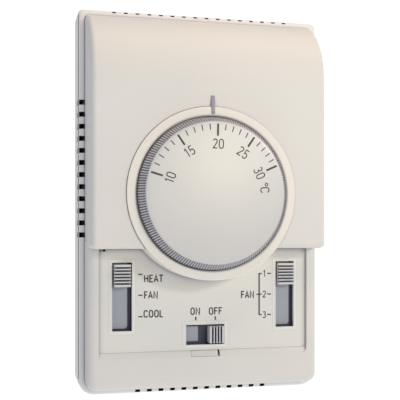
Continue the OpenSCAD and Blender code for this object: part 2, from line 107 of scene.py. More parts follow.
def prism(points, low, high, axis):
    """A closed prism: points in the plane across axis, between low and high along it."""
    bm = bmesh.new()

    def place(a, b, c):
        return {"x": (c, a, b), "y": (a, c, b), "z": (a, b, c)}[axis]

    ends = [[bm.verts.new(place(a, b, c)) for a, b in points] for c in (low, high)]
    count = len(points)
    for i in range(count):
        j = (i + 1) % count
        bm.faces.new((ends[0][i], ends[0][j], ends[1][j], ends[1][i]))
    bm.faces.new(ends[0][::-1])
    bm.faces.new(ends[1])
    return bm


def arc(cx, cy, r, a0, a1, n):
    """Points on an arc, both ends included, angles in degrees."""
    out = []
    for i in range(n + 1):
        a = math.radians(a0 + (a1 - a0) * i / n)
        out.append((cx + r * math.cos(a), cy + r * math.sin(a)))
    return out


def plan(hx, hy, r_top, r_low, n=10):
    """Plan outline with round corners."""
    return (
        arc(hx - r_top, hy - r_top, r_top, 0, 90, n)
        + arc(-hx + r_top, hy - r_top, r_top, 90, 180, n)
        + arc(-hx + r_low, -hy + r_low, r_low, 180, 270, n)
        + arc(hx - r_low, -hy + r_low, r_low, 270, 360, n)
    )


def boxes(specs):
    """Several separate boxes in one bmesh, each (x0, y0, z0, x1, y1, z1)."""
    bm = bmesh.new()
    for x0, y0, z0, x1, y1, z1 in specs:
        made = bmesh.ops.create_cube(bm, size=1.0)["verts"]
        for v in made:
            v.co = Vector((
                x0 + (v.co.x + 0.5) * (x1 - x0),
                y0 + (v.co.y + 0.5) * (y1 - y0),
                z0 + (v.co.z + 0.5) * (z1 - z0),
            ))
    return bm


def drum(cx, cy, r, z0, z1, n):
    """A cylinder along z with n sides."""
    turns = [2 * math.pi * i / n for i in range(n)]
    return prism([(cx + r * math.cos(a), cy + r * math.sin(a)) for a in turns], z0, z1, "z")


def apply_modifiers(obj):
    """Bakes the modifiers of obj into its mesh."""
    graph = bpy.context.evaluated_depsgraph_get()
    mesh = bpy.data.meshes.new_from_object(obj.evaluated_get(graph))
    obj.modifiers.clear()
    old = obj.data
    obj.data = mesh
    bpy.data.meshes.remove(old)


def cut(obj, bm, mode="DIFFERENCE"):
    """Exact boolean of obj with the solid in bm."""
    tool = new_mesh("tool", bm)
    mod = obj.modifiers.new("bool", "BOOLEAN")
    mod.operation = mode
    mod.solver = "EXACT"
    mod.object = tool
    apply_modifiers(obj)
    mesh = tool.data
    bpy.data.objects.remove(tool)
    bpy.data.meshes.remove(mesh)


def round_edges(obj, weight_of, width, segments):
    """Rounds edges by weight: weight_of(a, b) gives 0 to 1 for the edge between a and b."""
    bm = bmesh.new()
    bm.from_mesh(obj.data)
    layers = bm.edges.layers.float
    layer = layers.get("bevel_weight_edge") or layers.new("bevel_weight_edge")
    for e in bm.edges:
        e[layer] = weight_of(e.verts[0].co, e.verts[1].co)
    bm.to_mesh(obj.data)
    bm.free()
    mod = obj.modifiers.new("round", "BEVEL")
    mod.limit_method = "WEIGHT"
    mod.width = width
    mod.segments = segments
    mod.use_clamp_overlap = False
    apply_modifiers(obj)


def soften(obj, width, segments=2, angle=32):
    """Small radius on every edge sharper than angle."""
    mod = obj.modifiers.new("edge", "BEVEL")
    mod.limit_method = "ANGLE"
    mod.angle_limit = math.radians(angle)
    mod.width = width
    mod.segments = segments
    mod.use_clamp_overlap = True
    apply_modifiers(obj)


def clean(obj, dist=0.002):
    """Merges points closer than dist and drops faces without area."""
    bm = bmesh.new()
    bm.from_mesh(obj.data)
    bmesh.ops.remove_doubles(bm, verts=bm.verts, dist=dist)
    bmesh.ops.dissolve_degenerate(bm, edges=bm.edges, dist=dist)
    bm.to_mesh(obj.data)
    bm.free()


def shade(obj, angle=40):
    """Smooth shading with sharp edges kept above angle."""
    bm = bmesh.new()
    bm.from_mesh(obj.data)
    limit = math.radians(angle)
    for f in bm.faces:
        f.smooth = True
    for e in bm.edges:
        e.smooth = not (len(e.link_faces) == 2 and e.calc_face_angle(0.0) > limit)
    bm.to_mesh(obj.data)
    bm.free()


def finish_piece(obj, body, material, nodes=(), angle=40, weighted=True):
    shade(obj, angle)
    obj.data.transform(TO_ROW)
    obj.data.materials.clear()
    obj.data.materials.append(material)
    if weighted:
        mod = obj.modifiers.new("normals", "WEIGHTED_NORMAL")
        mod.keep_sharp = True
    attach(obj, body)
    if nodes:
        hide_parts(*nodes)
    return obj


# ----------------------------------------------------------------- materials

def paint_crevice_shade(nt, unshaded_colour, colour, reach_mm, local, depth):
    """Paints shade into grooves and inner corners narrower than reach_mm: the colour turns darker and
    blue-violet where ambient occlusion is strong.
    """
    hollow = nt.nodes.new("ShaderNodeAmbientOcclusion")
    hollow.samples = 8
    hollow.only_local = local
    hollow.inputs["Distance"].default_value = reach_mm / 1000
    span = nt.nodes.new("ShaderNodeMapRange")
    span.inputs["From Min"].default_value = 0.30
    span.inputs["From Max"].default_value = 0.92
    nt.links.new(hollow.outputs["AO"], span.inputs["Value"])
    mix = nt.nodes.new("ShaderNodeMix")
    mix.data_type = "RGBA"
    # Colour of the painted shade: darker, with a blue-violet cast.
    dark = [c * (1 - depth) * tint for c, tint in zip(colour, (0.92, 0.89, 1.18))]
    for socket in mix.inputs:
        if socket.type == "RGBA" and socket.name == "A":
            socket.default_value = (*dark, 1)
        if socket.type == "RGBA" and socket.name == "B":
            nt.links.new(unshaded_colour, socket)
    nt.links.new(span.outputs["Result"], mix.inputs["Factor"])
    return next(o for o in mix.outputs if o.type == "RGBA")


GRAIN_MM = 0.35  # size of the spark-eroded texture on moulded plastic


def plastic(name, colour, rough, grain=0.18, drift=0.02, spec=0.45, crevice_shade=None):
    """Moulded plastic: fine spark-eroded texture, slow colour drift, faint roughness change.

    The last argument gives the shade painted into grooves and inner corners: (reach in mm, own mesh only,
    depth of the darkening).
    """
    m = bpy.data.materials.new(name)
    m.use_nodes = True
    nt = m.node_tree
    bsdf = nt.nodes["Principled BSDF"]
    coords = nt.nodes.new("ShaderNodeTexCoord")
    slow = nt.nodes.new("ShaderNodeTexNoise")
    slow.inputs["Scale"].default_value = 28
    slow.inputs["Detail"].default_value = 3
    nt.links.new(coords.outputs["Object"], slow.inputs["Vector"])
    ramp = nt.nodes.new("ShaderNodeValToRGB")
    low = [max(0.0, c * (1 - drift)) for c in colour]
    high = [min(1.0, c * (1 + drift)) for c in colour]
    ramp.color_ramp.elements[0].position = 0.3
    ramp.color_ramp.elements[1].position = 0.7
    ramp.color_ramp.elements[0].color = (*low, 1)
    ramp.color_ramp.elements[1].color = (*high, 1)
    nt.links.new(slow.outputs["Fac"], ramp.inputs["Fac"])
    base = ramp.outputs["Color"]
    # Painted shade in grooves and inner corners, when asked for.
    if crevice_shade:
        base = paint_crevice_shade(nt, base, colour, *crevice_shade)
    nt.links.new(base, bsdf.inputs["Base Color"])
    fine = nt.nodes.new("ShaderNodeTexNoise")
    fine.inputs["Scale"].default_value = 1000 / GRAIN_MM
    fine.inputs["Detail"].default_value = 2
    nt.links.new(coords.outputs["Object"], fine.inputs["Vector"])
    span = nt.nodes.new("ShaderNodeMapRange")
    span.inputs["To Min"].default_value = rough - 0.05
    span.inputs["To Max"].default_value = rough + 0.06
    nt.links.new(fine.outputs["Fac"], span.inputs["Value"])
    nt.links.new(span.outputs["Result"], bsdf.inputs["Roughness"])
    bump = nt.nodes.new("ShaderNodeBump")
    bump.inputs["Strength"].default_value = grain
    bump.inputs["Distance"].default_value = 0.00002
    nt.links.new(fine.outputs["Fac"], bump.inputs["Height"])
    nt.links.new(bump.outputs["Normal"], bsdf.inputs["Normal"])
    bsdf.inputs["Specular IOR Level"].default_value = spec
    return m


def metal(name, colour, rough=0.32):
    """Sheet or turned metal with a drawn grain."""
    m = bpy.data.materials.new(name)
    m.use_nodes = True
    nt = m.node_tree
    bsdf = nt.nodes["Principled BSDF"]
    bsdf.inputs["Metallic"].default_value = 1.0
    coords = nt.nodes.new("ShaderNodeTexCoord")
    stretch = nt.nodes.new("ShaderNodeMapping")
    stretch.inputs["Scale"].default_value = (1, 1, 12)
    nt.links.new(coords.outputs["Object"], stretch.inputs["Vector"])
    grain = nt.nodes.new("ShaderNodeTexNoise")
    grain.inputs["Scale"].default_value = 300
    grain.inputs["Detail"].default_value = 4
    nt.links.new(stretch.outputs["Vector"], grain.inputs["Vector"])
    ramp = nt.nodes.new("ShaderNodeValToRGB")
    ramp.color_ramp.elements[0].color = (*[c * 0.82 for c in colour], 1)
    ramp.color_ramp.elements[1].color = (*colour, 1)
    nt.links.new(grain.outputs["Fac"], ramp.inputs["Fac"])
    nt.links.new(ramp.outputs["Color"], bsdf.inputs["Base Color"])
    span = nt.nodes.new("ShaderNodeMapRange")
    span.inputs["To Min"].default_value = rough - 0.08
    span.inputs["To Max"].default_value = rough + 0.12
    nt.links.new(grain.outputs["Fac"], span.inputs["Value"])
    nt.links.new(span.outputs["Result"], bsdf.inputs["Roughness"])
    bump = nt.nodes.new("ShaderNodeBump")
    bump.inputs["Strength"].default_value = 0.15
    bump.inputs["Distance"].default_value = 0.00002
    nt.links.new(grain.outputs["Fac"], bump.inputs["Height"])
    nt.links.new(bump.outputs["Normal"], bsdf.inputs["Normal"])
    return m


# Most plastics here have shade painted into their grooves and inner corners; on the panel it reaches far
# enough to paint a shadow round the bezel's foot, and on the dial and knobs it darkens the ribs' grooves.
MAT = {
    "case_plastic": plastic(
        "case_plastic", (0.80, 0.78, 0.755), 0.5, spec=0.3, crevice_shade=(1.0, False, 0.6)),
    "cover_plastic": plastic(
        "cover_plastic", (0.72, 0.70, 0.665), 0.52, spec=0.25, crevice_shade=(1.2, False, 0.35)),
    "bezel_plastic": plastic(
        "bezel_plastic", (0.82, 0.785, 0.72), 0.46, spec=0.3, crevice_shade=(1.5, False, 0.6)),
    "panel_plastic": plastic(
        "panel_plastic", (0.76, 0.74, 0.70), 0.5, spec=0.25, crevice_shade=(2.2, False, 0.55)),
    "dial_plastic": plastic(
        "dial_plastic", (0.60, 0.595, 0.59), 0.25, grain=0.05, spec=0.5,
        crevice_shade=(0.8, True, 0.55)),
    "knob_plastic": plastic(
        "knob_plastic", (0.66, 0.65, 0.66), 0.34, grain=0.05, crevice_shade=(1.0, True, 0.85)),
    "rim_plastic": plastic("rim_plastic", (0.80, 0.79, 0.75), 0.36, grain=0.05),
    "pointer_ink": plastic("pointer_ink", (0.30, 0.29, 0.33), 0.4),
    "legend_ink": plastic("legend_ink", (0.055, 0.045, 0.05), 0.5),
    # The dust blades are near black as painted shadow: the pale patches on them stop short of the windows'
    # right and bottom edges, and the blade shows there as the walls' shadow.
    "blade_plastic": plastic("blade_plastic", (0.05, 0.045, 0.075), 0.45),
    "pad_plastic": plastic("pad_plastic", (0.38, 0.395, 0.455), 0.4),
    "bright_steel": metal("bright_steel", (0.62, 0.63, 0.65)),
    "screw_steel": metal("screw_steel", (0.66, 0.66, 0.68), 0.28),
    "plated_steel": metal("plated_steel", (0.60, 0.62, 0.64), 0.36),
    "brass_parts": metal("brass_parts", (0.74, 0.58, 0.28), 0.3),
    "spring_wire": metal("spring_wire", (0.55, 0.56, 0.60), 0.25),
    "cam_plastic": plastic("cam_plastic", (0.80, 0.80, 0.77), 0.35),
    "phenolic": plastic("phenolic", (0.30, 0.17, 0.08), 0.5, drift=0.12),
    "board_laminate": plastic("board_laminate", (0.02, 0.10, 0.04), 0.35, drift=0.1),
    # slot_shade is painted shade for the walls of the vent slots.
    "slot_shade": plastic("slot_shade", (0.035, 0.032, 0.045), 0.6, drift=0.1),
    "dark_plastic": plastic("dark_plastic", (0.02, 0.02, 0.022), 0.38),
    "button_plastic": plastic("button_plastic", (0.45, 0.03, 0.02), 0.3),
    "resistor_body": plastic("resistor_body", (0.50, 0.38, 0.24), 0.45, drift=0.1),
    "capacitor_sleeve": plastic("capacitor_sleeve", (0.02, 0.03, 0.12), 0.28),
}


# ---------------------------------------------------------------- rear case

def vent_centres(count, middle=0.0):
    """Where the middles of count slots stand along a wall."""
    return [middle + (i - (count - 1) / 2) * VENT_PITCH for i in range(count)]


def side_slots(x0, x1, z0, z1):
    """Slots through both side walls, from |x| = x0 to x1."""
    half = VENT_W / 2
    out = []
    for y in vent_centres(SIDE_VENTS, SIDE_VENT_Y):
        out.append((-x1, y - half, z0, -x0, y + half, z1))
        out.append((x0, y - half, z0, x1, y + half, z1))
    return out


def end_slots(count, y0, y1, z0, z1, width=VENT_W):
    """Slots through the top or the bottom wall, from y0 to y1."""
    return [(x - width / 2, y0, z0, x + width / 2, y1, z1) for x in vent_centres(count)]


def in_slot(p):
    """Whether a point of the case's surface lies on the wall of a vent slot, where shade is painted."""
    half = VENT_W / 2 + 0.01
    wall = CASE_WALL - 0.04

    def beside(v, centres):
        return any(abs(v - c) < half for c in centres)

    if p.z > BAND_Z - 0.7 or p.z < SLOT_FLOOR - 0.1:
        return False
    if abs(p.x) > CASE_X - wall and beside(p.y, vent_centres(SIDE_VENTS, SIDE_VENT_Y)):
        return abs(p.x) < CASE_X - 0.05
    if p.y < -CASE_Y + wall and beside(p.x, vent_centres(LOW_VENTS)):
        return p.y > -CASE_Y + 0.05
    if p.y > CASE_Y - wall and beside(p.x, vent_centres(TOP_VENTS)):
        return p.y < CASE_Y - 0.05
    return False


def rear_case():
    outline = plan(CASE_X, CASE_Y, CASE_TOP_R, CASE_LOW_R)
    obj = new_mesh("case_shell", prism(outline, 0, BAND_Z, "z"))

    def weight(a, b):
        if a.z > BAND_Z - 0.1 and b.z > BAND_Z - 0.1:
            return 1.0
        return 0.25 if a.z < 0.1 and b.z < 0.1 else 0.0

    round_edges(obj, weight, CASE_EDGE_R, 6)
    clean(obj)
    # The wall stands close to the cover's skirt, so the joint is a fine line.
    inner = plan(CASE_X - CASE_WALL, CASE_Y - CASE_WALL, 0.8, CASE_LOW_R - CASE_WALL, 6)
    cut(obj, prism(inner, CASE_FLOOR, OVER, "z"))
    # Cable entry and the two holes for wall screws.
    cut(obj, boxes([(-12.4, 37.6, -1, 12.4, 51.8, 8)]))
    for x in (-SCREW_X, SCREW_X):
        cut(obj, drum(x, SCREW_Y, SCREW_R, -1, 8, 32))
    # Slots in the front edge of the walls, behind a thin outer skin.
    top, skin, low, far = BAND_Z + 1, SLOT_SKIN, SLOT_FLOOR, 4
    cut(obj, boxes(side_slots(CASE_X - far, CASE_X - skin, low, top)))
    cut(obj, boxes(end_slots(LOW_VENTS, -CASE_Y + skin, -CASE_Y + far, low, top)))
    cut(obj, boxes(end_slots(TOP_VENTS, CASE_Y - far, CASE_Y - skin, low, BAND_Z - 1.6)))
    cut(obj, boxes(end_slots(TOP_VENTS, CASE_Y - 0.85, CASE_Y - skin, low, top, 1.3)))
    # The side and top slots open outwards below the rounded edge.
    sill = BAND_Z - 2.4
    cut(obj, boxes(side_slots(CASE_X - 1, CASE_X + 1, VENT_Z, sill)))
    cut(obj, boxes(end_slots(TOP_VENTS, CASE_Y - 0.6, CASE_Y + 1, VENT_Z, sill)))
    clean(obj)
    inside = [i for i, face in enumerate(obj.data.polygons) if in_slot(face.center)]
    finish_piece(obj, "case", MAT["case_plastic"], ["rear_case"], 35)
    # Painted shade: the walls of the slots take a near-black colour where shadow falls inside them.
    obj.data.materials.append(MAT["slot_shade"])
    for i in inside:
        obj.data.polygons[i].material_index = 1


# -------------------------------------------------------------- front cover

def hood_profile(inset):
    """Side view of the hood, (y, z), with the soft curve at its top."""
    arc_y = COVER_Y - 22
    arc_z = HOOD_Z - CURVE_R
    r = CURVE_R - inset
    end = math.degrees(math.asin((COVER_Y - inset - arc_y) / r))
    steps = 28
    pts = [(HOOD_Y + inset, COVER_Z0), (HOOD_Y + inset, HOOD_Z - inset)]
    for i in range(steps + 1):
        a = math.radians(end * i / steps)
        pts.append((arc_y + r * math.sin(a), arc_z + r * math.cos(a)))
    pts += [(COVER_Y - inset, COVER_Z0)]
    return pts


def panel_plan(hx, y0, y1, r):
    """Outline of the recess or the plate, with only its lower right corner round."""
    return [(-hx, y1), (-hx, y0)] + arc(hx - r, y0 + r, r, 270, 360, 8) + [(hx, y1)]


def bm_of(obj):
    """The mesh of a helper object as a bmesh; the object goes."""
    bm = bmesh.new()
    bm.from_mesh(obj.data)
    mesh = obj.data
    bpy.data.objects.remove(obj)
    bpy.data.meshes.remove(mesh)
    return bm


def front_cover():
    hood = new_mesh("front_cover_shell", prism(hood_profile(0), -COVER_X, COVER_X, "x"))
    for v in hood.data.vertices:
        v.co.x *= 1 - (v.co.z - COVER_Z0) / (HOOD_Z - COVER_Z0) * HOOD_TAPER / COVER_X

    def hood_weight(a, b):
        side = abs(a.x) > 38 and abs(b.x) > 38 and a.x * b.x > 0
        low_end = a.y < HOOD_Y + 0.1 and b.y < HOOD_Y + 0.1
        if side and a.z > COVER_Z0 + 0.1 and b.z > COVER_Z0 + 0.1:
            return 1.0
        if side and low_end:
            return 1.0
        if low_end and a.z > HOOD_Z - 1 and b.z > HOOD_Z - 1:
            return 1.0
        return 0.0

    round_edges(hood, hood_weight, HOOD_EDGE_R, 7)
    clean(hood)
    # The low part round the switch plate, joined to the hood just above the hood's lower end.
    slab = prism(plan(COVER_X, COVER_Y, COVER_CORNER_R, COVER_CORNER_R), COVER_Z0, LOW_Z, "z")
    low = new_mesh("slab", slab)
    front = LOW_Z - 0.1
    round_edges(low, lambda a, b: 1.0 if a.z > front and b.z > front else 0.0, LOW_EDGE_R, 8)
    clean(low)
    cut(low, boxes([(-60, HOOD_Y + 2.5, 0, 60, 90, 40)]))
    cut(hood, bm_of(low), "UNION")
    # Hollow inside, with a thicker front behind the switch plate's edge.
    cut(hood, prism(hood_profile(COVER_WALL), -HOLLOW_X, HOLLOW_X, "x"))
    cut(hood, boxes([(-HOLLOW_X, -60.8, 5, HOLLOW_X, HOOD_Y + 4, 17)]))
    # Recess for the switch plate, round at its lower right corner only.
    lip_y, above = LEDGE_Y - 0.02, 24
    slope = [(HOOD_Y, PLATE_Z), (HOOD_Y, above), (lip_y, above), (lip_y, LOW_Z),
             (PANEL_Y0, PLATE_Z)]
    recess = new_mesh("recess", prism(slope, -PANEL_X, PANEL_X, "x"))
    outline = panel_plan(PANEL_X, lip_y, HOOD_Y + 1, RECESS_R)
    cut(recess, prism(outline, UNDER, OVER, "z"), "INTERSECT")
    cut(hood, bm_of(recess))
    outline = panel_plan(PANEL_X, PANEL_Y0, HOOD_Y, PANEL_R)
    cut(hood, prism(outline, PLATE_Z - 0.75, above, "z"))
    # Openings behind the plate, for the release tab and for the dial with its bezel.
    cut(hood, boxes([(-34.7, -49, 15, 34.7, HOOD_Y, above)]))
    cut(hood, boxes([(-5.07, LEDGE_Y - 0.04, 15, 4.95, PANEL_Y0 + 1.4, above)]))
    cut(hood, drum(0, DIAL_Y, OPENING_R, 17, 40, 160))
    cut(hood, drum(0, DIAL_Y, BEZEL_R + 0.06, 27.35, 40, 160))
    # Slots in the skirt, in line with the case's.
    cut(hood, boxes(side_slots(COVER_X - 4, COVER_X + 1, 10, BAND_Z - 0.2)))
    cut(hood, boxes(end_slots(LOW_VENTS, -COVER_Y - 1, -COVER_Y + 3, 10, LOW_Z - 3)))
    cut(hood, boxes(end_slots(TOP_VENTS, COVER_Y - 4, COVER_Y + 1, 10, BAND_Z - 1)))
    clean(hood)
    soften(hood, 0.1, 2, 50)
    finish_piece(hood, "case", MAT["cover_plastic"], ["front_cover"], 35)


# -------------------------------------------------------------------- lathes

def lathe(name, profile, cy, count, radius_of=None):
    """Turns (r, z) points round the dial axis. radius_of(r, z, angle) may reshape the radius."""
    bm = bmesh.new()
    rings = []
    for r, z in profile:
        if r < 1e-6:
            rings.append([bm.verts.new((0, cy, z))])
            continue
        ring = []
        for i in range(count):
            a = 2 * math.pi * i / count
            rr = radius_of(r, z, a) if radius_of else r
            ring.append(bm.verts.new((rr * math.sin(a), cy + rr * math.cos(a), z)))
        rings.append(ring)
    for first, second in zip(rings, rings[1:]):
        for i in range(count):
            j = (i + 1) % count
            if len(first) == 1:
                bm.faces.new((first[0], second[i], second[j]))
            elif len(second) == 1:
                bm.faces.new((first[i], first[j], second[0]))
            else:
                bm.faces.new((first[i], first[j], second[j], second[i]))
    return new_mesh(name, bm)


def round_corner(p, a, b, r, n=4):
    """Points that replace corner p, between neighbours a and b, with a small round."""
    pa = Vector(a) - Vector(p)
    pb = Vector(b) - Vector(p)
    pa.normalize()
    pb.normalize()
    start, end = Vector(p) + pa * r, Vector(p) + pb * r
    out = []
    for i in range(n + 1):
        t = i / n
        q = start * (1 - t) ** 2 + Vector(p) * 2 * t * (1 - t) + end * t ** 2
        out.append((q.x, q.y))
    return out


def rounded(profile, radii):
    """The profile with small rounds at the corners that radii lists by index."""
    out = []
    for i, p in enumerate(profile):
        r = radii.get(i)
        if r:
            out += round_corner(p, profile[i - 1], profile[i + 1], r)
        else:
            out.append(p)
    return out


def dial_bezel():
    outer = BEZEL_R - 0.08
    profile = rounded(
        [(3.6, 23.8), (6.5, 23.8), (6.5, 27.4), (outer, 27.4), (outer, BEZEL_Z),
         (25.9, BEZEL_Z), (25.36, 29.2), (25.36, 28.0), (24.0, 28.0), (24.0, 28.6),
         (3.6, 28.6), (3.6, 23.8)],
        {3: 0.2, 4: 0.4, 5: 0.2, 6: 0.12},
    )
    obj = lathe("bezel_ring", profile, DIAL_Y, 240)
    clean(obj)
    # Wall that carries the ring's edge down to the switch plate below the hood.
    wall = new_mesh("wall", drum(0, DIAL_Y, outer - 0.02, PLATE_Z + 0.1, 27.6, 240))
    cut(wall, drum(0, DIAL_Y, outer - 1.5, 10, 40, 160))
    cut(wall, boxes([(-40, HOOD_Y - 0.1, 0, 40, 60, 60)]))
    cut(obj, bm_of(wall), "UNION")
    finish_piece(obj, "case", MAT["bezel_plastic"], ["dial_bezel"], 35)


def setpoint_dial():
    def knurl(r, z, a):
        """Fine ribs on the dial's side, which fade out just under its face."""
        if r < FACE_R - 0.6:
            return r
        phase = (a * RIBS / (2 * math.pi)) % 1.0
        groove = max(0.0, 1 - abs(phase - 0.5) / RIB_GAP)
        fade_top = min(1.0, max(0.0, (FACE_Z - 0.3 - z) / 0.35))
        return r - RIB_DEPTH * groove ** 0.8 * fade_top

    under = [(0, 31.5), (3.0, 31.5), (3.0, 29.1), (5.5, 29.1), (5.5, 32), (21, 32), (21, 29.1)]
    cone_z, cone_steps = 30.2, 8
    rows = [(DIAL_R - 0.3, 29.1), (DIAL_R, 29.35), (DIAL_R, 29.8), (DIAL_R, cone_z)]
    for i in range(1, cone_steps + 1):
        t = i / cone_steps
        rows.append((DIAL_R + (FACE_R - DIAL_R) * t, cone_z + (FACE_Z - 0.5 - cone_z) * t))
    # The rounded edge, given as steps in from the face's radius and down from its height.
    edge = ((0.05, 0.3), (0.16, 0.13), (0.32, 0.03), (0.5, 0), (1.2, 0))
    rows += [(FACE_R - step, FACE_Z - drop) for step, drop in edge]
    rows += [(16, FACE_Z), (8, FACE_Z), (0, FACE_Z)]
    obj = lathe("dial_cap", under + rows, DIAL_Y, RIBS * 8, knurl)
    clean(obj, 0.0005)
    finish_piece(obj, "dial", MAT["dial_plastic"], ["setpoint_dial"], 28, False)


# -------------------------------------------------------------- switch plate

# Switch windows: name of the rim, middle x and y, width, height.
WINDOWS = [
    ("rim_left", -SIDE_X, WIN_Y, WIN_W, WIN_H),
    ("rim_right", SIDE_X, WIN_Y, WIN_W, WIN_H),
    ("rim_middle", 0, PWIN_Y, PWIN_W, PWIN_H),
]


def window_box(window, margin, low, high):
    """Box over a window, wider than it by margin on each side."""
    _, x, y, w, h = window
    return (x - w / 2 - margin, y - h / 2 - margin, low,
            x + w / 2 + margin, y + h / 2 + margin, high)


def switch_plate():
    g = 0.06
    outline = panel_plan(PANEL_X - g, PANEL_Y0 + g, HOOD_Y - 0.3, PANEL_R)
    obj = new_mesh("switch_panel", prism(outline, PLATE_Z - 1.4, PLATE_Z, "z"))
    # Slit at the upper left corner, and a little more air along the left edge.
    left = -PANEL_X - 1
    cut(obj, boxes([(left, HOOD_Y - 0.95, UNDER, -PANEL_X + 2.3, HOOD_Y + 1, OVER)]))
    cut(obj, boxes([(left, -60, UNDER, -PANEL_X + 0.17, 0, OVER)]))
    # Thinner along three edges, where the plate lies on the cover's ledge.
    low = PLATE_Z - 0.74
    cut(obj, boxes([(-40, -48.9, UNDER, -34.6, 0, low), (34.6, -48.9, UNDER, 40, 0, low)]))
    cut(obj, boxes([(-40, -60, UNDER, 40, -48.9, low)]))
    for window in WINDOWS:
        cut(obj, boxes([window_box(window, 0.1, UNDER, OVER)]))
    soften(obj, 0.07, 2)
    finish_piece(obj, "case", MAT["panel_plastic"], ["switch_plate"], 35)
    foot = PLATE_Z - 0.2
    for window in WINDOWS:
        rim = new_mesh(window[0], boxes([window_box(window, RIM_W, foot, PLATE_Z + RIM_RISE)]))
        ridge = window_box(window, RIDGE_W, foot, PLATE_Z + RIDGE_RISE)
        cut(rim, boxes([ridge]), "UNION")
        cut(rim, boxes([window_box(window, 0, UNDER, OVER)]))
        soften(rim, 0.1, 3)
        finish_piece(rim, "case", MAT["rim_plastic"], (), 35)


def release_tab():
    """The key in the ledge under the plate, with its foot behind the cover."""
    y0, y1, back = LEDGE_Y + 0.02, PANEL_Y0 - 0.06, 16.4
    pts = [(y0, back), (y0, LOW_Z - 0.04), (y1, PLATE_Z + 0.02), (y1, back)]
    obj = new_mesh("tab_key", prism(pts, -5.0, 4.35, "x"))
    soften(obj, 0.1, 2)
    cut(obj, boxes([(-4.3, LEDGE_Y - 1.2, 14.0, 4.2, LEDGE_Y + 1.2, 15.2)]), "UNION")
    cut(obj, boxes([(-4.3, LEDGE_Y + 0.1, 15.0, 4.2, LEDGE_Y + 1.2, 16.8)]), "UNION")
    finish_piece(obj, "tab", MAT["cover_plastic"], ["release_tab"], 35)


# ------------------------------------------------------------------ sliders

def ribbed_knob(name, cx, cy, w, h, ribs, along):
    """Knob whose top has flat ribs across its travel, with deep grooves between them."""
    base = BLADE_Z + BLADE_T + 0.02
    length, width = (h, w) if along == "y" else (w, h)
    pitch = length / ribs
    groove, foot, depth, lip = 0.29, 0.2, 1.1, 0.07
    pts = [(-length / 2, base), (-length / 2, KNOB_Z - lip), (-length / 2 + lip, KNOB_Z)]
    for k in range(1, ribs):
        c = -length / 2 + k * pitch
        pts += [(c - groove - lip, KNOB_Z), (c - groove, KNOB_Z - lip), (c - foot, KNOB_Z - depth)]
        pts += [(c + foot, KNOB_Z - depth), (c + groove, KNOB_Z - lip), (c + groove + lip, KNOB_Z)]
    pts += [(length / 2 - lip, KNOB_Z), (length / 2, KNOB_Z - lip), (length / 2, base)]
    if along == "y":
        bm = prism([(cy + a, b) for a, b in pts], cx - width / 2, cx + width / 2, "x")
    else:
        bm = prism([(cx + a, b) for a, b in pts], cy - width / 2, cy + width / 2, "y")
    return new_mesh(name, bm)


def lit_patch(name, body, slabs, r=1.0):
    """Pale patch on the near-black dust blade, plates (x0, y0, x1, y1) with round corners: it is the blade's
    lit part, and the dark blade around it is painted shadow.
    """
    obj = None
    face = BLADE_Z + BLADE_T
    for x0, y0, x1, y1 in slabs:
        mx, my = (x0 + x1) / 2, (y0 + y1) / 2
        corners = plan((x1 - x0) / 2, (y1 - y0) / 2, r, r, 6)
        bm = prism([(x + mx, y + my) for x, y in corners], face - 0.05, face + 0.14, "z")
        if obj is None:
            obj = new_mesh(name, bm)
        else:
            cut(obj, bm, "UNION")
    finish_piece(obj, body, MAT["pad_plastic"], (), 35)


def side_switch(tag, x, body, shadow_margin):
    """An upright switch: knob, neck and foot, and the pale patch, which ends short of the window's right and
    bottom edges so that the dark blade shows there as painted shadow.
    """
    ky = WIN_Y + SIDE_TRAVEL / 2
    knob = ribbed_knob(tag + "_knob", x, ky, KNOB_W, KNOB_H, 7, "y")
    cut(knob, boxes([(x - 1, ky - 1.4, 13.5, x + 1, ky + 1.4, 17.2)]), "UNION")
    cut(knob, boxes([(x - 3.3, ky - 3, 10, x + 3.3, ky + 3, 14)]), "UNION")
    soften(knob, 0.05, 2, 40)
    finish_piece(knob, body, MAT["knob_plastic"], [tag + "_slider"], 35)
    low = WIN_Y - WIN_H / 2 + 0.7
    reach = ky - low
    left, right = x - 3.65, x + WIN_W / 2 - shadow_margin
    slabs = [(left, low, right, ky - 1.5), (left, ky + 1.5, right, ky + reach)]
    lit_patch(tag + "_lit_patch", body, slabs)


def power_switch():
    """The level switch in the middle, made like the upright ones; its pale patch ends short of the window's
    top and bottom edges, where the dark blade shows as painted shadow.
    """
    kx = POWER_TRAVEL / 2
    knob = ribbed_knob("power_knob", kx, PWIN_Y, PKNOB_W, PKNOB_H, 5, "x")
    cut(knob, boxes([(kx - 1.4, PWIN_Y - 1, 13.5, kx + 1.4, PWIN_Y + 1, 17.2)]), "UNION")
    cut(knob, boxes([(kx - 3, PWIN_Y - 3, 10, kx + 3, PWIN_Y + 3, 14)]), "UNION")
    soften(knob, 0.05, 2, 40)
    nodes = ["power_slider"]
    finish_piece(knob, "power_carriage", MAT["knob_plastic"], nodes, 35)
    near, far = kx + 2.1, kx + PWIN_W / 2 + 0.2
    y0, y1 = PWIN_Y - PWIN_H / 2 + 1.0, PWIN_Y + PWIN_H / 2 - 0.7
    slabs = [(kx - far, y0, kx - near, y1), (kx + near, y0, kx + far, y1)]
    lit_patch("power_lit_patch", "power_carriage", slabs, 0.4)


# ------------------------------------------------------------------ legends

def curve_pts(cx, cy, rx, ry, a0, a1, n=12):
    """Points on part of an ellipse, angles in degrees."""
    turns = [math.radians(a0 + (a1 - a0) * i / n) for i in range(n + 1)]
    return [(cx + rx * math.cos(a), cy + ry * math.sin(a)) for a in turns]


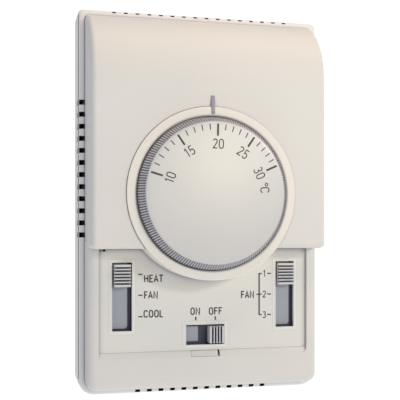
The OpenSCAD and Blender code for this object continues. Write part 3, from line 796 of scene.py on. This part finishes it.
# Stroke glyphs, one unit tall: (advance width, strokes).
GLYPHS = {
    "0": (0.50, [curve_pts(0.25, 0.72, 0.22, 0.26, 0, 180)
                 + curve_pts(0.25, 0.28, 0.22, 0.26, 180, 360) + [(0.47, 0.72)]]),
    "1": (0.34, [[(0.02, 0.80), (0.20, 0.98), (0.20, 0.02)]]),
    "2": (0.50, [curve_pts(0.24, 0.74, 0.21, 0.23, 165, -28) + [(0.04, 0.03), (0.47, 0.03)]]),
    "3": (0.50, [curve_pts(0.22, 0.75, 0.20, 0.22, 150, -90),
                 curve_pts(0.22, 0.27, 0.23, 0.25, 90, -150)]),
    "5": (0.50, [[(0.43, 0.97), (0.09, 0.97), (0.06, 0.50)]
                 + curve_pts(0.23, 0.32, 0.22, 0.29, 120, -150)]),
    "H": (0.54, [[(0.04, 0.02), (0.04, 0.98)], [(0.48, 0.02), (0.48, 0.98)],
                 [(0.04, 0.52), (0.48, 0.52)]]),
    "E": (0.46, [[(0.44, 0.97), (0.05, 0.97), (0.05, 0.03), (0.44, 0.03)],
                 [(0.05, 0.52), (0.39, 0.52)]]),
    "A": (0.54, [[(0.01, 0.02), (0.26, 0.98), (0.51, 0.02)], [(0.11, 0.33), (0.41, 0.33)]]),
    "T": (0.48, [[(0.0, 0.97), (0.48, 0.97)], [(0.24, 0.97), (0.24, 0.02)]]),
    "F": (0.44, [[(0.43, 0.97), (0.05, 0.97), (0.05, 0.02)], [(0.05, 0.52), (0.37, 0.52)]]),
    "N": (0.56, [[(0.05, 0.02), (0.05, 0.98), (0.50, 0.02), (0.50, 0.98)]]),
    "C": (0.52, [curve_pts(0.27, 0.68, 0.22, 0.29, 20, 180)
                 + curve_pts(0.27, 0.32, 0.22, 0.29, 180, 340)]),
    "O": (0.54, [curve_pts(0.27, 0.68, 0.22, 0.29, 0, 180)
                 + curve_pts(0.27, 0.32, 0.22, 0.29, 180, 360) + [(0.49, 0.68)]]),
    "L": (0.42, [[(0.05, 0.98), (0.05, 0.03), (0.42, 0.03)]]),
}


def ribbon(bm, pts, width, z, thick):
    """A flat stroke of constant width along pts, thick high, its top at z.

    It closes on itself when its last point is its first.
    """
    pts = [Vector(p) for p in pts]
    clean_pts = [pts[0]]
    for p in pts[1:]:
        if (p - clean_pts[-1]).length > 1e-4:
            clean_pts.append(p)
    pts = clean_pts
    closed = (pts[0] - pts[-1]).length < 1e-3 and len(pts) > 3
    if closed:
        pts = pts[:-1]
    n = len(pts)
    left, right = [], []
    for i, p in enumerate(pts):
        d1 = (p - pts[i - 1]).normalized() if i > 0 or closed else None
        d2 = (pts[(i + 1) % n] - p).normalized() if i < n - 1 or closed else d1
        if d1 is None:
            d1 = d2
        n1 = Vector((-d1.y, d1.x))
        n2 = Vector((-d2.y, d2.x))
        m = n1 + n2
        if m.length < 1e-6:
            m = n1.copy()
        m.normalize()
        scale = min(2.2, 1 / max(0.3, m.dot(n1)))
        left.append(p + m * width / 2 * scale)
        right.append(p - m * width / 2 * scale)
    rows = []
    for l, r in zip(left, right):
        corners = ((l, z), (r, z), (r, z - thick), (l, z - thick))
        rows.append([bm.verts.new((q.x, q.y, height)) for q, height in corners])
    last = n if closed else n - 1
    for i in range(last):
        a, b = rows[i], rows[(i + 1) % n]
        for k in range(4):
            q = (k + 1) % 4
            bm.faces.new((a[k], a[q], b[q], b[k]))
    if not closed:
        bm.faces.new(rows[0][::-1])
        bm.faces.new(rows[-1])


def text_strokes(text, height, gap_w=0.16, squeeze=1.0):
    """Strokes of a word, centred on its middle, and its width."""
    x = 0
    strokes = []
    for ch in text:
        adv, parts = GLYPHS[ch]
        for s in parts:
            strokes.append([((x + a * squeeze) * height, (b - 0.5) * height) for a, b in s])
        x += adv * squeeze + gap_w
    width = (x - gap_w) * height
    return [[(a - width / 2, b) for a, b in s] for s in strokes], width


def turned(pts, angle, cx, cy):
    """Points turned clockwise by angle degrees and moved to (cx, cy)."""
    c, s = math.cos(math.radians(-angle)), math.sin(math.radians(-angle))
    return [(cx + a * c - b * s, cy + a * s + b * c) for a, b in pts]


def scale_angle(value):
    """Clockwise angle from the top of a reading on the scale, in degrees."""
    step = value - 20
    return 1.3 + 6.96 * step - 0.05 * step ** 2


def dial_scale():
    """Ticks from 10 to 30, the numbers and the degree sign, printed on the dial's face."""
    bm = bmesh.new()
    top = FACE_Z + PRINT
    thick = PRINT + 0.02
    for value in range(10, 31):
        inner, width = (18.45, 0.65) if value % 5 == 0 else (20.45, 0.34)
        tick = turned([(0, inner), (0, 22.35)], scale_angle(value), 0, DIAL_Y)
        ribbon(bm, tick, width, top, thick)
    for label, angle in (("10", -72.5), ("15", -33.9), ("20", 2.0), ("25", 34.1), ("30", 65.3)):
        strokes, _ = text_strokes(label, 3.05)
        for s in strokes:
            ribbon(bm, turned([(x, y + 15.9) for x, y in s], angle, 0, DIAL_Y), 0.36, top, thick)
    strokes, _ = text_strokes("C", 3.0, 0.1, 1.25)
    for s in strokes:
        ribbon(bm, turned([(x, y + 16.35) for x, y in s], 86, 0, DIAL_Y), 0.36, top, thick)
    ribbon(bm, curve_pts(16.85, 5.55, 0.45, 0.45, 0, 360, 16), 0.3, top, thick)
    obj = new_mesh("dial_scale_print", bm)
    finish_piece(obj, "dial", MAT["legend_ink"], (), 30, False)


def panel_legends():
    """Words, numbers and lines printed on the switch plate."""
    bm = bmesh.new()
    top = PLATE_Z + PRINT
    thick = PRINT + 0.02

    def word(text, x, y, h=2.35, squeeze=1.0, gap_w=0.17, width=0.4):
        strokes, w = text_strokes(text, h, gap_w, squeeze)
        for s in strokes:
            ribbon(bm, [(a + x + w / 2, b + y) for a, b in s], width, top, thick)

    def bar(x0, y0, x1, y1, width=0.42):
        ribbon(bm, [(x0, y0), (x1, y1)], width, top, thick)

    word("HEAT", -21.0, -25.6, squeeze=1.08)
    word("FAN", -21.0, -31.1, squeeze=1.03)
    word("COOL", -21.2, -37.4, squeeze=1.13)
    bar(-23.0, -24.15, -21.6, -24.15)
    bar(-23.0, -31.15, -21.6, -31.15)
    bar(-23.0, -38.3, -21.6, -38.3)
    word("ON", -5.1, -36.9, squeeze=1.1)
    word("OFF", 1.35, -37.0, squeeze=1.14)
    bar(-3.3, -38.8, -3.3, -40.0, 0.5)
    bar(3.55, -38.8, 3.55, -40.0, 0.5)
    word("FAN", 12.8, -31.6, squeeze=1.03)
    bar(19.25, -24.3, 19.25, -38.7, 0.5)
    for y, digit in ((-24.4, "1"), (-31.55, "2"), (-38.65, "3")):
        bar(19.25, y, 20.2, y)
        word(digit, 20.6 if digit != "1" else 20.8, y, 2.2, width=0.32)
        bar(22.2, y, 23.5, y)
    bar(18.3, -31.55, 19.25, -31.55)
    obj = new_mesh("panel_legend_print", bm)
    finish_piece(obj, "case", MAT["legend_ink"], (), 30, False)


def pointer():
    """Bar that starts on the bezel and slopes down onto the hood."""
    inner, edge, tip = DIAL_Y + 26.1, DIAL_Y + BEZEL_R - 0.2, 34.8
    pts = [(inner, BEZEL_Z - 0.2), (inner, BEZEL_Z + 0.1), (edge, BEZEL_Z + 0.1),
           (tip, HOOD_Z + 0.12), (tip, HOOD_Z - 0.1), (edge + 0.4, HOOD_Z - 0.1),
           (edge + 0.1, BEZEL_Z - 0.2)]
    obj = new_mesh("pointer_bar", prism(pts, -0.62, 0.62, "x"))
    soften(obj, 0.05, 2)
    finish_piece(obj, "case", MAT["pointer_ink"], ["setpoint_pointer"], 30, False)


def range_coil():
    """Coil spring behind the cam follower: one end stays, the other moves with the follower."""
    wire_r, coil_r, z = 0.22, 1.9, 15.1
    turns, steps, sides = 5, 28, 8
    y0, y1 = 20.46, 25.24
    along = Vector((0, 1, 0))
    bm = bmesh.new()
    rings = []
    for k in range(turns * steps + 1):
        a = 2 * math.pi * k / steps
        out = Vector((math.cos(a), 0, math.sin(a)))
        middle = out * coil_r + Vector((0, y0 + (y1 - y0) * k / (turns * steps), z))
        ring = []
        for q in range(sides):
            b = 2 * math.pi * q / sides
            around = out * math.cos(b) + along * math.sin(b)
            ring.append(bm.verts.new(middle + around * wire_r))
        rings.append(ring)
    for first, second in zip(rings, rings[1:]):
        for q in range(sides):
            after = (q + 1) % sides
            bm.faces.new((first[q], first[after], second[after], second[q]))
    bm.faces.new(rings[0])
    bm.faces.new(rings[-1][::-1])
    obj = new_mesh("range_coil", bm)
    shade(obj, 40)
    obj.data.transform(TO_ROW)
    obj.data.materials.append(MAT["spring_wire"])
    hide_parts("range_spring")
    start, end = TO_ROW @ Vector((0, y1, z)), TO_ROW @ Vector((0, y0, z))
    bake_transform(obj, "case", "follower", start=tuple(start), end=tuple(end))


# ------------------------------------------------------- carried-over nodes

def dress_nodes():
    """Materials and fine edge rounds for the nodes that keep the CAD's own mesh."""
    slots = {s["node"]: s["material_slot"] for s in frame["record"]["subparts"]}
    for name, obj in frame["nodes"].items():
        obj.data.materials.clear()
        obj.data.materials.append(MAT[slots[name]])
        weld = obj.modifiers.new("weld", "WELD")
        weld.merge_threshold = 0.00001
        bevel = obj.modifiers.new("edge", "BEVEL")
        bevel.limit_method = "ANGLE"
        bevel.angle_limit = math.radians(40)
        bevel.width = 0.00008
        bevel.segments = 2


# --------------------------------------------------------------- the studio

def area(name, loc, target, size, power, colour):
    """A square area light at loc that faces target; metres and watts."""
    light = bpy.data.lights.new(name, "AREA")
    light.shape = "SQUARE"
    light.size = size
    light.energy = power
    light.color = colour
    obj = bpy.data.objects.new(name, light)
    bpy.context.scene.collection.objects.link(obj)
    obj.location = loc
    aim = Vector(target) - Vector(loc)
    obj.rotation_euler = aim.to_track_quat("-Z", "Y").to_euler()


def white_plane(name, corners, strength):
    """A plane that glows evenly white, so that it reads as a plain background."""
    mesh = bpy.data.meshes.new(name)
    mesh.from_pydata(corners, [], [(0, 1, 2, 3)])
    obj = bpy.data.objects.new(name, mesh)
    bpy.context.scene.collection.objects.link(obj)
    m = bpy.data.materials.new(name)
    m.use_nodes = True
    nt = m.node_tree
    nt.nodes.clear()
    out = nt.nodes.new("ShaderNodeOutputMaterial")
    glow = nt.nodes.new("ShaderNodeEmission")
    glow.inputs["Color"].default_value = (1, 1, 1, 1)
    glow.inputs["Strength"].default_value = strength
    nt.links.new(glow.outputs["Emission"], out.inputs["Surface"])
    mesh.materials.append(m)


def studio():
    scene = bpy.context.scene
    world = bpy.data.worlds.new("studio")
    scene.world = world
    world.use_nodes = True
    back = world.node_tree.nodes["Background"]
    back.inputs["Color"].default_value = (0.80, 0.85, 1.0, 1)
    back.inputs["Strength"].default_value = 0.47
    x0, x1, y0, y1, z = -1.6, 3, -1.6, 2.8, -0.6
    floor = [(x0, y0, z), (x1, y0, z), (x1, y1, z), (x0, y1, z)]
    x0, x1, y, z0, z1 = -0.9, 3, 2.7, -0.7, 1.6
    backdrop = [(x0, y, z0), (x1, y, z0), (x1, y, z1), (x0, y, z1)]
    white_plane("floor", floor, 1.03)
    white_plane("backdrop", backdrop, 1.05)
    # key makes the highlight on the dial's face, and left lifts the side walls.
    area("key", (0.10, -0.40, 0.05), (0, 0, 0), 0.06, 0.17, (1.0, 0.86, 0.55))
    area("top", (0.10, -0.16, 0.50), (0, -0.02, 0.03), 0.3, 1.35, (1.0, 0.77, 0.55))
    area("left", (-0.5, 0.03, 0.05), (-0.042, -0.01, 0), 0.3, 0.17, (1, 0.96, 0.86))
    area("side", (0.19, -0.36, 0.11), (0, 0, -0.01), 0.06, 0.42, (0.94, 0.94, 0.85))
    scene.view_settings.view_transform = "Standard"
    scene.view_settings.look = "None"


def camera():
    cam = bpy.data.cameras.new("camera")
    cam.sensor_width = 36
    cam.lens = 71.55
    cam.shift_y = 0.078
    cam.clip_start = 0.01
    obj = bpy.data.objects.new("camera", cam)
    bpy.context.scene.collection.objects.link(obj)
    obj.location = (-0.06595, -0.28147, -0.00973)
    obj.rotation_euler = (math.radians(90), 0, math.radians(-13.72))
    bpy.context.scene.camera = obj


camera()
studio()
dress_nodes()
rear_case()
front_cover()
dial_bezel()
setpoint_dial()
switch_plate()
release_tab()
# The last number is the width of painted shadow at the window's right edge.
side_switch("system", -SIDE_X, "system_carriage", 1.3)
side_switch("fan", SIDE_X, "fan_carriage", 1.1)
power_switch()
pointer()
dial_scale()
panel_legends()
range_coil()
